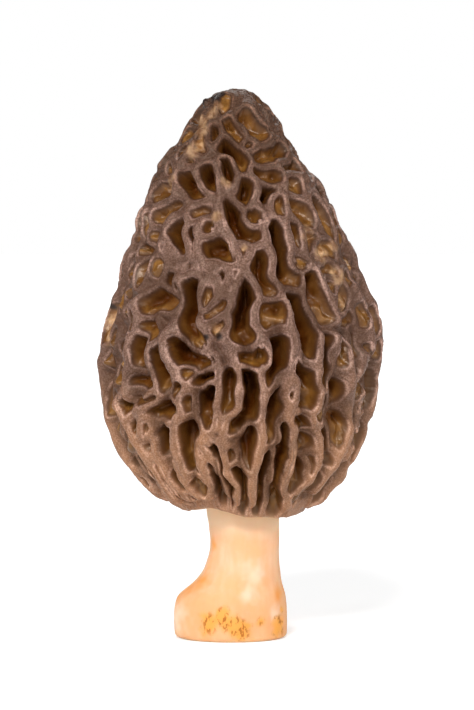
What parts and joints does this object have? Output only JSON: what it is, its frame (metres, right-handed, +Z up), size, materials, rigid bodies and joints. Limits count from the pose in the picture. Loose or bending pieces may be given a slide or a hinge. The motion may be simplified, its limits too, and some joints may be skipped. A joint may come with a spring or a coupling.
{
  "type": "morel mushroom",
  "caption": "Egg-shaped honeycomb cap, with winding ridges and deep pits, on a short pale stem that is cut flat and stands on its broad foot.",
  "frame": {"origin": "middle of the bounding box, on the surface that the cut foot stands on", "axes": "+Z up the stem to the cap's tip; -Y is the front, with the foot's bulge to the left at -X"},
  "size_m": [0.0526, 0.0493, 0.1],
  "materials": {
    "cap_flesh": "moist satin, mauve-brown ridges over ochre pits",
    "stem_flesh": "soft matte, cream with orange stains"
  },
  "bodies": {
    "root": {"cap": "cap_flesh", "stem": "stem_flesh"}
  },
  "joints": []
}
